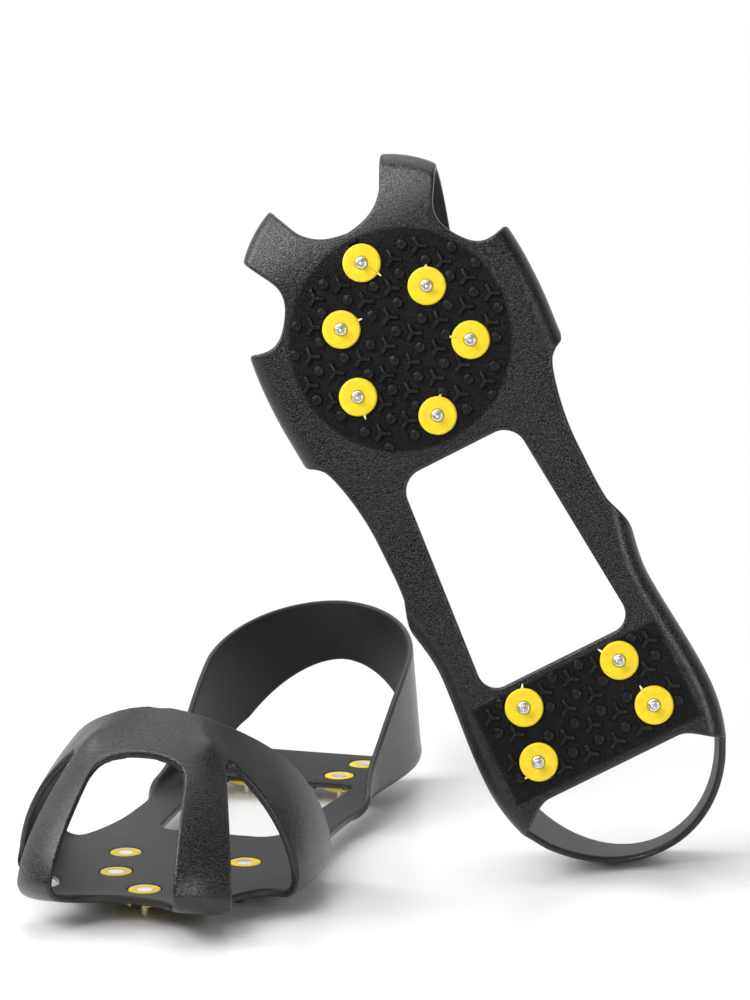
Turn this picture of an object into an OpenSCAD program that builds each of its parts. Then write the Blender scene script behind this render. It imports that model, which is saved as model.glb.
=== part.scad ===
// Pair of slip-on ice cleats: two alike stretch rubber frames that are pulled over shoes.
// Each frame is one moulding: a flat bed under the sole, a hood of straps round the toe
// and a strap round the heel. Ten studs, each a nylon collar with a steel pin, sit in it.
// One cleat stands on its studs with its toe towards -Y. Its mate leans on its heel.
// A cleat is drawn with x across, y towards the toe, and z = 0 on the face under the shoe.

/* [Sole] */
// Half width of the forefoot that the hood goes round
sole_half_w = 53.5; // [50:0.5:58]
// From the middle of the forefoot studs to the toe end of the sole
toe_reach = 71; // [67:0.5:76]
// Squareness of the toe seen from above, 2 is an ellipse
toe_square = 2.3; // [2:0.05:2.8]
// Height of the toe box over the middle of the forefoot studs
toe_h = 68; // [60:0.5:76]
// Fall of the toe box towards the toe, as a share of the length
toe_drop = 0.33; // [0.2:0.01:0.45]
// Squareness of the toe box seen from the side
toe_box = 1.75; // [1.5:0.05:2.4]
// Rise of the sole at the toe end, where the shoe's toe springs up
toe_spring = 8; // [4:0.5:12]
// Half width of the heel
heel_half_w = 44; // [40:0.5:48]
// From the middle of the forefoot studs back to the middle of the heel's round
heel_mid = 165; // [155:1:180]
// Length of the heel's round behind its middle
heel_round = 53; // [46:0.5:58]

/* [Bed] */
// Thickness of the bed under the sole
bed_t = 3.2; // [2.8:0.1:4.2]
// Radius of the forefoot pad
pad_r = 45; // [42:0.5:47]
// Half width of the bed outside at the waist
waist_half_w = 42.3; // [39:0.1:45]
// From the middle of the forefoot studs back to the rear edge of the heel pad
heel_pad_rear = 180; // [175:1:184]
// Fillet between the pad, the straps and the arms
root_fillet = 10; // [6:0.5:12]
// Fillet between the side arms and the rails
arm_fillet = 20; // [14:1:28]
// From the middle of the forefoot studs back to where the side arm's gusset meets the rail
gusset_end = 66; // [56:1:76]
// Front edge of the window between pad and heel
window_front = 47.5; // [46:0.5:54]
// Rear edge of that window
window_rear = 134.5; // [126:0.5:136]
// Half width of that window at its front
window_half_front = 24; // [21:0.5:28]
// Half width of that window at its rear
window_half_rear = 31; // [26:0.5:33]
// Corner radius of that window
window_corner = 8; // [4:0.5:12]

/* [Hood] */
// Thickness of the straps and arms off the bed
arm_t = 2.6; // [2.2:0.1:2.8]
// Inner radius of the turn round the edge of the sole
turn_r = 4; // [3:0.25:6]
// Direction of the toe strap's inner edge at the sole, from straight across
strap_in = 72; // [68:1:76]
// Direction of the toe strap's outer edge at the sole
strap_out = 52; // [48:1:56]
// Toe strap's inner edge beside the middle where it joins the band
strap_top_in = 16.5; // [13:0.5:18]
// Toe strap's outer edge beside the middle where it joins the band
strap_top_out = 27; // [24:0.5:30]
// How far the toe strap reaches into the band
strap_lap = 4; // [3:0.5:6]
// Direction of the side arm's front edge at the sole
arm_front = 23; // [18:1:28]
// Direction of the side arm's rear edge at the sole, behind straight across
arm_rear = 20; // [16:1:24]
// Band's front edge at the middle, ahead of the forefoot studs' middle
band_front = 33; // [30:0.5:36]
// Band's front edge beside the toe straps, where the side windows end
band_side = 23; // [20:0.5:26]
// Band's rear edge at the middle, ahead of the forefoot studs' middle
band_rear = 14; // [11:0.5:16]
// Flare of the straps' edges where they leave the bed
root_flare = 9; // [4:0.5:12]
// Flare of the side arms' edges where they leave the bed
arm_flare = 9; // [4:0.5:12]
// Bow of the band's rear edge seen from above, 2 is a parabola
band_rear_bow = 2.6; // [2:0.1:3.2]

/* [Heel strap] */
// From the middle of the forefoot studs back to where the heel strap starts
heel_start = 112; // [106:1:120]
// Height of the heel strap's upper edge at the back
heel_top = 54; // [46:1:62]
// Height of the heel strap's lower edge at the back
heel_low = 28; // [20:1:34]
// Lean of the heel strap towards the ankle, as a share of its height
heel_lean = 0.08; // [0:0.01:0.15]
// How far the heel strap's front end leans back as it turns up
heel_rake = 2.5; // [1:0.1:6]

/* [Studs] */
// Places of the forefoot studs: front, front pair, rear pair, rear
front_stud_y = 32.3; // [30:0.1:34]
// Half spread of the front pair
pair_x = 18.2; // [16:0.1:20]
// Front pair ahead of the middle
pair_y = 13.3; // [11:0.1:15]
// Half spread of the rear pair
rear_pair_x = 23.9; // [22:0.1:26]
// Rear pair behind the middle
rear_pair_y = 12.4; // [10:0.1:14]
// Half spread of the heel's front pair
heel_pair_x = 20; // [18:0.1:22]
// Heel's front pair behind the middle of the forefoot studs
heel_pair_y = 145.1; // [144:0.1:147]
// Half spread of the heel's rear pair
heel_back_x = 24.2; // [22:0.1:26]
// Heel's rear pair behind the middle of the forefoot studs
heel_back_y = 165.8; // [164:0.1:168]
// Diameter of the collar's outer flange
collar_d = 14.6; // [13:0.1:16]
// Thickness of the collar's outer flange
collar_t = 2.2; // [1.8:0.1:3]
// Diameter of the collar's neck through the bed
neck_d = 8; // [7:0.1:9]
// Diameter of the collar's inner flange
inner_d = 12; // [11:0.1:13]
// Thickness of the collar's inner flange
inner_t = 1.2; // [1.1:0.05:1.5]
// Diameter of the steel pin's head
head_d = 6; // [5.4:0.1:6.4]
// Thickness of the pin's head
head_t = 0.8; // [0.6:0.05:0.9]
// Diameter of the pin's shank in the collar
shank_d = 3; // [2.6:0.1:3.4]
// Diameter of the pin's shoulder outside the collar
shoulder_d = 4.7; // [4.2:0.1:5.2]
// Height of that shoulder
shoulder_t = 0.9; // [0.6:0.1:1.2]
// Diameter of the pin's tip
tip_d = 2.8; // [2.4:0.1:3.2]
// Reach of the pin below the collar
stud_reach = 5; // [4:0.1:6]
// Chamfer on the pin's tip
tip_chamfer = 0.5; // [0.3:0.1:0.8]
// Radial clearance of the collar in the bed
bed_fit = 0.1; // [0.05:0.01:0.2]
// Radial clearance of the pin in the collar
pin_fit = 0.04; // [0.02:0.01:0.08]

/* [Tread] */
// Pitch of the tread's dots
dot_pitch = 11; // [10:0.1:13]
// Diameter of a dot
dot_d = 4; // [3:0.1:4.6]
// Height of the tread's bosses
tread_t = 1.8; // [1.2:0.1:2]
// Length of each arm of a three-armed boss
arm_len = 3.7; // [3:0.1:3.9]
// Width of each arm of a three-armed boss
arm_w = 1.6; // [1:0.05:1.8]
// Bare ring left round a stud's collar
stud_margin = 0.8; // [0.6:0.1:2]
// Bare border of the tread pads
tread_border = 3; // [2.6:0.1:5]

/* [Leaning cleat] */
// Turn of the leaning cleat about the upright
lean_turn = 9; // [0:0.5:40]
// Tilt of its sole backwards from upright
lean_back = 10.5; // [4:0.5:24]
// Roll of its toe to the side
lean_roll = 28; // [10:0.5:35]
// Place of its heel's end across the floor
lean_x = 174; // [150:0.5:220]
// Place of its heel's end along the floor
lean_y = 53; // [10:0.5:120]

/* [Hidden] */
cleats = ["standing", "leaning"];
studs = [
    [0, front_stud_y], [pair_x, pair_y], [-pair_x, pair_y], [rear_pair_x, -rear_pair_y],
    [-rear_pair_x, -rear_pair_y], [0, -front_stud_y], [heel_pair_x, -heel_pair_y],
    [-heel_pair_x, -heel_pair_y], [heel_back_x, -heel_back_y], [-heel_back_x, -heel_back_y]
];
$fn = 48;

rubber = [0.13, 0.13, 0.14];
yellow = [0.97, 0.86, 0.12];
steel = [0.74, 0.75, 0.77];

// How deep the straps' roots lie inside the bed's two faces
sink = (bed_t - arm_t) / 2;
// How far the bed stops short of the sole's edge, where the turn starts
edge_trim = 0.9 * turn_r;
// How far the straps' roots reach into the bed past the turn
root_len = 6;
// A toe strap lies inside the band's thickness by this much on both faces
nest = 0.3;
floor_z = -(bed_t + collar_t + stud_reach);
turn_steps = 4;
wall_z = turn_r - sink;
row_gap = dot_pitch * sqrt(3) / 2;
arm_centre = dot_pitch / sqrt(3);

function mix(a, b, t) = a + (b - a) * t;
function unit(v) = v / norm(v);
function flip(p) = [-p.x, p.y, p.z];
function rising(s, climb) = 1 - pow(1 - s, climb);

// Edge of the forefoot sole in direction a, and the toe box over it at rise w
function sole_r(a) = pow(pow(abs(cos(a)) / sole_half_w, toe_square)
    + pow(abs(sin(a)) / toe_reach, toe_square), -1 / toe_square);
function sole_share(p) = norm(p) / sole_r(atan2(p.y, p.x));
function box_top(y) = toe_h - toe_drop * y - wall_z;
function toe_box_at(p) =
    [p.x, p.y, wall_z + box_top(p.y) * pow(max(1 - pow(sole_share(p), toe_box), 0), 1 / toe_box)];
function box_level(q) = pow(sole_share([q.x, q.y]), toe_box)
    + pow(max(q.z - wall_z, 0) / box_top(q.y), toe_box);
function toe_box_out(q, e = 0.05) = unit([
    box_level(q + [e, 0, 0]) - box_level(q - [e, 0, 0]),
    box_level(q + [0, e, 0]) - box_level(q - [0, e, 0]),
    box_level(q + [0, 0, e]) - box_level(q - [0, 0, e])]);
// Share of the way in from the sole's edge at step s of a strap that climbs a wall first
function way_in(s, top) = (1 - pow(cos(top * s), 2 / toe_box)) / (1 - pow(max(cos(top), 0), 2 / toe_box));
// Edge of the heel, from the strap's start at p = 0 round to the back at p = 2
function heel_at(p) = p < 1
    ? [mix(waist_half_w - arm_t + 1.8, heel_half_w, p), -mix(heel_start, heel_mid, p)]
    : [heel_half_w * cos(90 * (p - 1)), -heel_mid - heel_round * sin(90 * (p - 1))];
function heel_out(p) = let (d = unit(heel_at(p + 0.01) - heel_at(p - 0.01))) [-d.y, d.x];

// Share of the flare left on step k of a root, from the bed to the foot of the wall
function fade(k) = pow(1 - k / (turn_steps + 1), 1.5);
function flare(k) = arm_flare * fade(k);

// Inner and outer point of a strap's root: k = 0 lies in the bed, then it turns up
function root_pair(foot, out, k) =
    let (b = k == 0 ? 0 : 90 * (k - 1) / turn_steps,
        at = foot - out * (turn_r + (k == 0 ? root_len : 0)),
        pin = at + out * turn_r * sin(b), pout = at + out * (turn_r + arm_t) * sin(b))
    [[pin.x, pin.y, wall_z - turn_r * cos(b)], [pout.x, pout.y, wall_z - (turn_r + arm_t) * cos(b)]];
function box_pair(at, low, high) =
    let (p = toe_box_at(at), n = toe_box_out(p)) [p + low * n, p + high * n];
function sole_foot(a) = sole_r(a) * [cos(a), sin(a)];
function sole_pair(a, k) = root_pair(sole_foot(a), [cos(a), sin(a)], k);
function heel_pair(p, h) =
    let (at = heel_at(p), out = heel_out(p), low = at - out * heel_lean * h, high = low + out * arm_t)
    [[low.x, low.y, wall_z + h], [high.x, high.y, wall_z + h]];

// Rows of a strap that runs up one side, over the middle and down the other side
function both_sides(rows) = concat(rows,
    [for (i = [len(rows) - 2:-1:0]) [for (c = rows[i]) [flip(c[0]), flip(c[1])]]]);

// Edges of the band seen from above, at a share of the way out to the sole's edge
function rear_edge(out) = mix(band_rear, sole_foot(-arm_rear).y, pow(out, band_rear_bow));
function front_edge(out) = let (f = sole_foot(arm_front), middle = out * f.x / (strap_top_out * 0.68))
    mix(band_side, f.y, pow(out, 6)) + (band_front - band_side) * exp(-pow(middle, 4));

band_cols = 6;
band_rows = 14;
half_band = concat(
    [for (k = [0:turn_steps + 1]) [for (j = [0:band_cols])
        sole_pair(mix(-arm_rear - flare(k), arm_front + flare(k) / 2, j / band_cols), k)]],
    [for (i = [1:band_rows]) let (s = i / band_rows) [for (j = [0:band_cols]) let (t = j / band_cols)
        let (f = sole_foot(mix(-arm_rear, arm_front, t)), out = 1 - way_in(s, 90))
        box_pair([f.x * out, mix(rear_edge(out), front_edge(out), t)], 0, arm_t)]]);

strap_cols = 4;
strap_rows = 9;
function spring(y) = toe_spring * pow(max(y - front_stud_y, 0) / (toe_reach - front_stud_y), 1.5);
// Toe strap's foot: from inside the pad it follows the sprung sole and then turns up
function strap_foot(a, k) = let (r = sole_r(a), n = strap_steps, out = [cos(a), sin(a)])
    k < n ? let (at = mix(strap_start, r - turn_r, k / n) * out, z = spring(at.y) - sink)
        [[at.x, at.y, z], [at.x, at.y, z - arm_t]]
    : let (pair = root_pair(r * out, out, k - n + 1), up = [0, 0, spring(r * out.y)])
        [pair[0] + up, pair[1] + up];
strap_steps = 3;
strap_start = pad_r - 2;
toe_strap = concat(
    [for (k = [0:turn_steps + strap_steps])
        let (w = root_flare * pow(1 - k / (turn_steps + strap_steps), 1.5))
        [for (j = [0:strap_cols])
            strap_foot(mix(strap_out - w / 2, strap_in + w / 4, j / strap_cols), k)]],
    [for (i = [1:strap_rows]) let (s = i / strap_rows) [for (j = [0:strap_cols])
        let (t = j / strap_cols, f = sole_foot(mix(strap_out, strap_in, t)), way = way_in(s, 75),
            top = [mix(strap_top_out, strap_top_in, t), mix(band_side, band_front, t) - strap_lap],
            pair = box_pair(mix(f, top, way), nest, arm_t - nest), up = [0, 0, spring(f.y) * (1 - way)])
        [pair[0] + up, pair[1] + up]]]);

heel_cols = 5;
heel_rows = 14;
heel_leave = 1 + asin((heel_pad_rear - heel_mid) / heel_round) / 90;
heel_off = heel_leave + root_flare / 60;
half_heel = concat(
    [for (k = [0:turn_steps + 1]) [for (j = [0:heel_cols])
        let (rake = heel_rake / (heel_mid - heel_start) * k / (turn_steps + 1),
            p = mix(heel_off + (heel_leave - heel_off) * fade(k), rake, j / heel_cols))
        root_pair(heel_at(p), heel_out(p), k)]],
    [for (i = [1:heel_rows]) let (s = i / heel_rows) [for (j = [0:heel_cols]) let (t = j / heel_cols)
        heel_pair(mix(mix(heel_off, 2, s), 2 * s, t),
            mix(heel_low * rising(s, 1.8), heel_top * rising(s, 1.8), t))]]);

// Closed skin of a strap given as rows of inner and outer points
module strap_solid(rows) {
    m = len(rows[0]);
    n = len(rows);
    function at(i, j, l) = (i * m + j) * 2 + l;
    function quad(a, b, c, d) = [[a, b, c], [a, c, d]];
    polyhedron(points = [for (r = rows) for (c = r) each c], faces = concat(
        [for (i = [0:n - 2], j = [0:m - 2]) each
            quad(at(i, j, 1), at(i + 1, j, 1), at(i + 1, j + 1, 1), at(i, j + 1, 1))],
        [for (i = [0:n - 2], j = [0:m - 2]) each
            quad(at(i, j, 0), at(i, j + 1, 0), at(i + 1, j + 1, 0), at(i + 1, j, 0))],
        [for (i = [0:n - 2]) each quad(at(i, 0, 0), at(i + 1, 0, 0), at(i + 1, 0, 1), at(i, 0, 1))],
        [for (i = [0:n - 2]) each
            quad(at(i, m - 1, 0), at(i, m - 1, 1), at(i + 1, m - 1, 1), at(i + 1, m - 1, 0))],
        [for (j = [0:m - 2]) each quad(at(0, j, 0), at(0, j, 1), at(0, j + 1, 1), at(0, j + 1, 0))],
        [for (j = [0:m - 2]) each
            quad(at(n - 1, j, 0), at(n - 1, j + 1, 0), at(n - 1, j + 1, 1), at(n - 1, j, 1))]),
        convexity = 6);
}

module sector(a, b) {
    polygon(concat([[0, 0]], [for (c = [a, (a + b) / 2, b]) 90 * [cos(c), sin(c)]]));
}

module closed(r) offset(r = -r) offset(r = r) children();

// Where the side arm's rear edge leaves the bed
gusset_foot = sole_foot(-arm_rear - flare(1));

// Flat outline of the pad, the straps' feet and the rails, before fillets
module bed_plain() {
    circle(pad_r, $fn = 96);
    intersection() {
        polygon([for (a = [-60:4:240]) (sole_r(a) - edge_trim) * [cos(a), sin(a)]]);
        union() {
            sector(-arm_rear - flare(1), arm_front + flare(1) / 2);
            sector(180 - arm_front - flare(1) / 2, 180 + arm_rear + flare(1));
        }
    }
    intersection() {
        circle(pad_r + 4, $fn = 96);
        union() {
            sector(strap_out - root_flare / 2, strap_in + root_flare / 4);
            sector(180 - strap_in - root_flare / 4, 180 - strap_out + root_flare / 2);
        }
    }
    for (m = [0, 1]) mirror([m, 0])
        polygon(concat([[0, -pad_r / 2]],
            [for (t = [0:0.1:1]) [mix(waist_half_w, gusset_foot.x - 0.4 * arm_t, pow(1 - t, 2)),
                mix(gusset_foot.y, -gusset_end, t)]],
            [for (p = [0:0.1:heel_leave]) heel_at(p) - edge_trim * heel_out(p)
                + [(edge_trim + arm_t - 1.8) * max(1 - 4 * p, 0), 0]],
            [[0, -heel_pad_rear + 1]]));
}

module bed_outline() {
    difference() {
        union() {
            closed(root_fillet) bed_plain();
            closed(arm_fillet) intersection() {
                bed_plain();
                translate([-sole_half_w, -heel_start]) square([2 * sole_half_w, heel_start - 6]);
            }
        }
        offset(r = window_corner) offset(delta = -window_corner) polygon([
            [window_half_front, -window_front], [window_half_rear, -window_rear],
            [-window_half_rear, -window_rear], [-window_half_front, -window_front]]);
    }
}

// One moulding with a bored and recessed seat for each collar
module frame() {
    color(rubber) difference() {
        union() {
            translate([0, 0, -bed_t]) linear_extrude(bed_t) bed_outline();
            strap_solid(both_sides(half_band));
            strap_solid(toe_strap);
            mirror([1, 0, 0]) strap_solid(toe_strap);
            strap_solid(both_sides(half_heel));
        }
        for (s = studs) translate(s) {
            translate([0, 0, -bed_t - 1]) cylinder(d = neck_d + 2 * bed_fit, h = bed_t + 2);
            translate([0, 0, -inner_t]) cylinder(d = inner_d + 2 * bed_fit, h = inner_t + 1);
        }
    }
}

function off_studs(p, r) = min([for (s = studs) norm(p - s)]) > collar_d / 2 + stud_margin + r;
heel_tread = [heel_half_w - edge_trim - tread_border, -window_rear - tread_border,
    -heel_pad_rear + tread_border];
function on_pads(p, r) = norm(p) < pad_r - tread_border - r
    || (abs(p.x) < heel_tread.x - r && p.y < heel_tread.y - r && p.y > heel_tread.z + r);
function clear(p, r) = on_pads(p, r) && off_studs(p, r);
dots = [for (j = [-20:4], i = [-5:5])
    let (p = [(i + (j % 2 == 0 ? 0 : 0.5)) * dot_pitch, j * row_gap + arm_centre / 2]) p];

// What is left of a boss on the two tread pads, outside the ring round each collar
module trimmed() {
    difference() {
        intersection() {
            children();
            union() {
                circle(pad_r - tread_border, $fn = 96);
                translate([-heel_tread.x, heel_tread.z])
                    square([2 * heel_tread.x, heel_tread.y - heel_tread.z]);
            }
        }
        for (s = studs) translate(s) circle(d = collar_d + 2 * stud_margin);
    }
}

// Dots and three-armed bosses moulded under the forefoot pad and the heel pad
module tread() {
    color(rubber) translate([0, 0, -bed_t - tread_t]) for (p = dots) {
        q = p + [0, arm_centre];
        if (clear(p, dot_d / 2)) translate(p) cylinder(d = dot_d, h = tread_t, $fn = 24);
        else if (clear(p, dot_d / 20)) linear_extrude(tread_t) trimmed()
            translate(p) circle(d = dot_d, $fn = 24);
        if (clear(q, arm_len)) translate(q) linear_extrude(tread_t) three_arms();
        else if (clear(q, 0.3 * arm_w)) linear_extrude(tread_t) trimmed() translate(q) three_arms();
    }
}

module three_arms() {
    inner = arm_w / 2 / cos(30) * 1;
    polygon([for (k = [0:2]) each [
        [arm_len * cos(90 + 120 * k) + arm_w / 2 * sin(90 + 120 * k),
            arm_len * sin(90 + 120 * k) - arm_w / 2 * cos(90 + 120 * k)],
        [arm_len * cos(90 + 120 * k) - arm_w / 2 * sin(90 + 120 * k),
            arm_len * sin(90 + 120 * k) + arm_w / 2 * cos(90 + 120 * k)],
        inner * [cos(150 + 120 * k), sin(150 + 120 * k)]]]);
}

// Nylon collar: a spool that grips the rubber between its two flanges
module collar(i) {
    low = -bed_t - collar_t;
    head = -inner_t + 0.05;
    color(yellow) translate(studs[i - 1]) rotate_extrude() polygon([
        [shank_d / 2 + pin_fit, low], [collar_d / 2 - 0.8, low], [collar_d / 2 - 0.25, low + 0.25],
        [collar_d / 2, low + 0.8], [collar_d / 2, -bed_t - 0.3], [collar_d / 2 - 0.3, -bed_t],
        [neck_d / 2, -bed_t], [neck_d / 2, -inner_t], [inner_d / 2, -inner_t], [inner_d / 2, -0.05],
        [head_d / 2 + pin_fit, -0.05], [head_d / 2 + pin_fit, -head_t - 0.1],
        [shank_d / 2 + pin_fit, -head_t - 0.1]]);
}

// Steel pin, held in the collar between its head and its shoulder
module stud(i) {
    low = -bed_t - collar_t;
    color(steel) translate(studs[i - 1]) rotate_extrude() polygon([
        [0, floor_z], [tip_d / 2 - tip_chamfer, floor_z], [tip_d / 2, floor_z + tip_chamfer],
        [tip_d / 2, low - shoulder_t], [shoulder_d / 2 - 0.2, low - shoulder_t],
        [shoulder_d / 2, low - shoulder_t + 0.2], [shoulder_d / 2, low], [shank_d / 2, low],
        [shank_d / 2, -head_t - 0.1], [head_d / 2, -head_t - 0.1], [head_d / 2, -0.1], [0, -0.1]]);
}

function turn_x(a) = [[1, 0, 0], [0, cos(a), -sin(a)], [0, sin(a), cos(a)]];
function turn_y(a) = [[cos(a), 0, sin(a)], [0, 1, 0], [-sin(a), 0, cos(a)]];
function turn_z(a) = [[cos(a), -sin(a), 0], [sin(a), cos(a), 0], [0, 0, 1]];
lean = turn_z(lean_turn) * turn_x(-lean_back) * turn_y(-lean_roll) * turn_z(180) * turn_x(90);
heel_points = [for (r = both_sides(half_heel)) for (c = r) lean * c[1]];
heel_end = lean * [0, -heel_mid - heel_round, 0];
lean_low = min([for (p = heel_points) p.z]);

module standing() {
    rotate([0, 0, 180]) children();
}

// Stands the mate on the lowest point of its heel strap, on the same floor
module leaning() {
    translate([lean_x - heel_end.x, lean_y - heel_end.y, floor_z - lean_low])
        rotate([0, 0, lean_turn]) rotate([-lean_back, 0, 0]) rotate([0, -lean_roll, 0])
            rotate([0, 0, 180]) rotate([90, 0, 0]) children();
}

standing() frame();  // standing_frame
standing() tread();  // standing_tread
for (i = [1:len(studs)]) {
    standing() collar(i);
    standing() stud(i);
}
leaning() frame();  // leaning_frame
leaning() tread();  // leaning_tread
for (i = [1:len(studs)]) {
    leaning() collar(i);
    leaning() stud(i);
}
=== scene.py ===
import math

import bmesh
import bpy
import numpy as np
from mathutils import Matrix, Vector


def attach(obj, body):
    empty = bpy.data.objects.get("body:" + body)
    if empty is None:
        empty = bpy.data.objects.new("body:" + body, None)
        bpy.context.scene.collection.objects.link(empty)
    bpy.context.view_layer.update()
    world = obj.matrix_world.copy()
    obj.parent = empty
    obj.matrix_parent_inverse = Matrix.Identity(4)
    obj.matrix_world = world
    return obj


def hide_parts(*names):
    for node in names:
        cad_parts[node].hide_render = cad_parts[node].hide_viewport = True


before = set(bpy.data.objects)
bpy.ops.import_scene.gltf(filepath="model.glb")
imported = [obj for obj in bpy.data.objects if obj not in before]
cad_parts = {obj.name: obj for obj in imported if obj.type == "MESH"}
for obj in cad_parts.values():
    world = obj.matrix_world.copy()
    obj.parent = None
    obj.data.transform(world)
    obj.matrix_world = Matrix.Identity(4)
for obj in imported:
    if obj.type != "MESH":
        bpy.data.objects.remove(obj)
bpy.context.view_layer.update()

scene = bpy.context.scene
scene.view_settings.view_transform = "Standard"

# Viewpoint: a long lens a little above the floor, looking at the toe of the
# standing cleat and the underside of its leaning mate. The picture is 750 x 1000.
target = Vector((0.0487, 0.1000, 0.1241))
azimuth, elevation, away = math.radians(16.6), math.radians(10.4), 1.450
film_h, focal_px, picture_h = 36.0, 3714.5, 1000
towards = Vector((math.sin(azimuth) * math.cos(elevation),
                  -math.cos(azimuth) * math.cos(elevation), math.sin(elevation)))
camera = bpy.data.objects.new("camera", bpy.data.cameras.new("camera"))
camera.data.sensor_fit = "VERTICAL"
camera.data.sensor_height = film_h
camera.data.lens = film_h * focal_px / picture_h
camera.data.clip_end = 60.0
camera.location = target + away * towards
camera.rotation_euler = towards.to_track_quat("Z", "Y").to_euler()
scene.collection.objects.link(camera)
scene.camera = camera

# Floor and light: a plain pale sweep that takes the soft shadow under the studs and
# runs out to white, lit by the room and by four square lamps above, before and beside.
floor_z, floor_half = -0.0104, 12
floor_mid, shadow_ends, white_from = (0.06, 0.06, floor_z), 0.22, 0.62


class Wire:
    """A node tree, or an output in it. Arithmetic on outputs adds Math nodes."""

    def __init__(self, tree, socket=None):
        self.tree, self.socket = tree, socket

    def add(self, kind, settings=None, inputs=None, out=0):
        """A new node: its settings first, then values or wires for its inputs."""
        node = self.tree.nodes.new(kind)
        for name, value in (settings or {}).items():
            setattr(node, name, value)
        for key, value in (inputs or {}).items():
            if isinstance(value, Wire):
                self.tree.links.new(value.socket, node.inputs[key])
            else:
                node.inputs[key].default_value = value
        return Wire(self.tree, node.outputs[out]) if node.outputs else Wire(self.tree)

    def __getitem__(self, name):
        return Wire(self.tree, self.socket.node.outputs[name])

    def math(self, operation, *values):
        return self.add("ShaderNodeMath", {"operation": operation}, dict(enumerate(values)))

    def __add__(self, other):
        return self.math("ADD", self, other)

    def __sub__(self, other):
        return self.math("SUBTRACT", self, other)

    def __rsub__(self, other):
        return self.math("SUBTRACT", other, self)

    def __mul__(self, other):
        return self.math("MULTIPLY", self, other)

    def __truediv__(self, other):
        return self.math("DIVIDE", self, other)

    __radd__, __rmul__ = __add__, __mul__

    def step(self, low, high):
        """0 below low, 1 above high, smooth between."""
        return self.add("ShaderNodeMapRange", {"interpolation_type": "SMOOTHSTEP"},
                        {"Value": self, "From Min": low, "From Max": high})

    def blend(self, a, b):
        """Colour a where this is 0, colour b where it is 1."""
        return self.add("ShaderNodeMix", {"data_type": "RGBA"}, {0: self, 6: a, 7: b}, 2)

    def stored(self, name, out="Fac"):
        """What the mesh holds under this name."""
        return self.add("ShaderNodeAttribute", {"attribute_name": name}, None, out)

    def noise(self, scale, detail, distortion=0.0):
        """Cloudy noise through the piece, of about scale features to the metre."""
        spot = self.add("ShaderNodeTexCoord", out="Object")
        return self.add("ShaderNodeTexNoise", None, {"Vector": spot, "Scale": scale, "Detail": detail,
                                                     "Distortion": distortion}, "Fac")


def new_material(name):
    """An empty material, as a wire to its tree, and its surface output node."""
    made = bpy.data.materials.new(name)
    made.use_nodes = True
    made.node_tree.nodes.clear()
    end = made.node_tree.nodes.new("ShaderNodeOutputMaterial")
    return made, Wire(made.node_tree), end.inputs["Surface"]


floor_mesh = bpy.data.meshes.new("floor")
floor_mesh.from_pydata([(x * floor_half, y * floor_half, floor_z)
                        for x, y in ((-1, -1), (1, -1), (1, 1), (-1, 1))], [], [(0, 1, 2, 3)])
floor = bpy.data.objects.new("floor", floor_mesh)
scene.collection.objects.link(floor)
floor_paint, nodes, surface = new_material("floor_paint")
seen = nodes.add("ShaderNodeLightPath", out="Is Camera Ray")
seen = seen.math("MAXIMUM", seen, seen["Is Glossy Ray"])
spot = nodes.add("ShaderNodeTexCoord", out="Object")
distance = nodes.add("ShaderNodeVectorMath", {"operation": "DISTANCE"}, {0: spot, 1: floor_mid}, "Value")
paint = nodes.add("ShaderNodeBsdfPrincipled", None,
                  {"Base Color": (0.90, 0.90, 0.905, 1), "Roughness": 0.30, "Specular IOR Level": 0.4})
white = nodes.add("ShaderNodeEmission", None, {"Color": (1, 1, 1, 1), "Strength": 1.0})
sweep = nodes.add("ShaderNodeMixShader", None,
                  {0: seen * distance.step(shadow_ends, white_from), 1: paint, 2: white})
nodes.tree.links.new(sweep.socket, surface)
floor_mesh.materials.append(floor_paint)

room = bpy.data.worlds.new("room")
scene.world = room
room.use_nodes = True
room.node_tree.nodes.clear()
nodes = Wire(room.node_tree)
path = nodes.add("ShaderNodeLightPath", out="Is Camera Ray")
seen = path.math("MAXIMUM", path, path["Is Transmission Ray"])
toward = nodes.add("ShaderNodeSeparateXYZ", None, {0: nodes.add("ShaderNodeTexCoord", out="Generated")})
backdrop = toward["Y"].step(-0.20, 0.45).blend((0.08, 0.08, 0.084, 1), (0.85, 0.85, 0.85, 1))
mirrored = toward["Y"].step(-0.20, 0.60).blend((0.06, 0.06, 0.063, 1), (1.05, 1.05, 1.05, 1))
backdrop = path["Is Glossy Ray"].blend(backdrop, mirrored)
dim = nodes.add("ShaderNodeBackground", None, {"Color": backdrop, "Strength": 1.0})
bright = nodes.add("ShaderNodeBackground", None, {"Color": (1, 1, 1, 1), "Strength": 1.0})
both = nodes.add("ShaderNodeMixShader", None, {0: seen, 1: dim, 2: bright})
end = room.node_tree.nodes.new("ShaderNodeOutputWorld")
room.node_tree.links.new(both.socket, end.inputs["Surface"])

for name, place, size, power in (("light_top", (-0.15, 0.20, 1.55), 1.2, 9.0),
                                 ("light_front", (-0.40, -1.05, 1.15), 0.7, 11.0),
                                 ("light_left", (-1.00, -0.30, 0.90), 0.8, 12.0),
                                 ("light_side", (0.85, -0.85, 0.45), 0.45, 3.8)):
    lamp = bpy.data.objects.new(name, bpy.data.lights.new(name, "AREA"))
    lamp.data.shape, lamp.data.size, lamp.data.energy = "SQUARE", size, power
    lamp.location = place
    lamp.rotation_euler = (Vector(place) - target).to_track_quat("Z", "Y").to_euler()
    scene.collection.objects.link(lamp)

# Rubber frame: one stretch moulding, 3 mm thick. Its bed turns up at the edge into a hood
# of two arms, a band and two toe straps, and into a strap round the heel, with windows
# between them. It keeps its worn form, as a skin drawn over a last.

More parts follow.
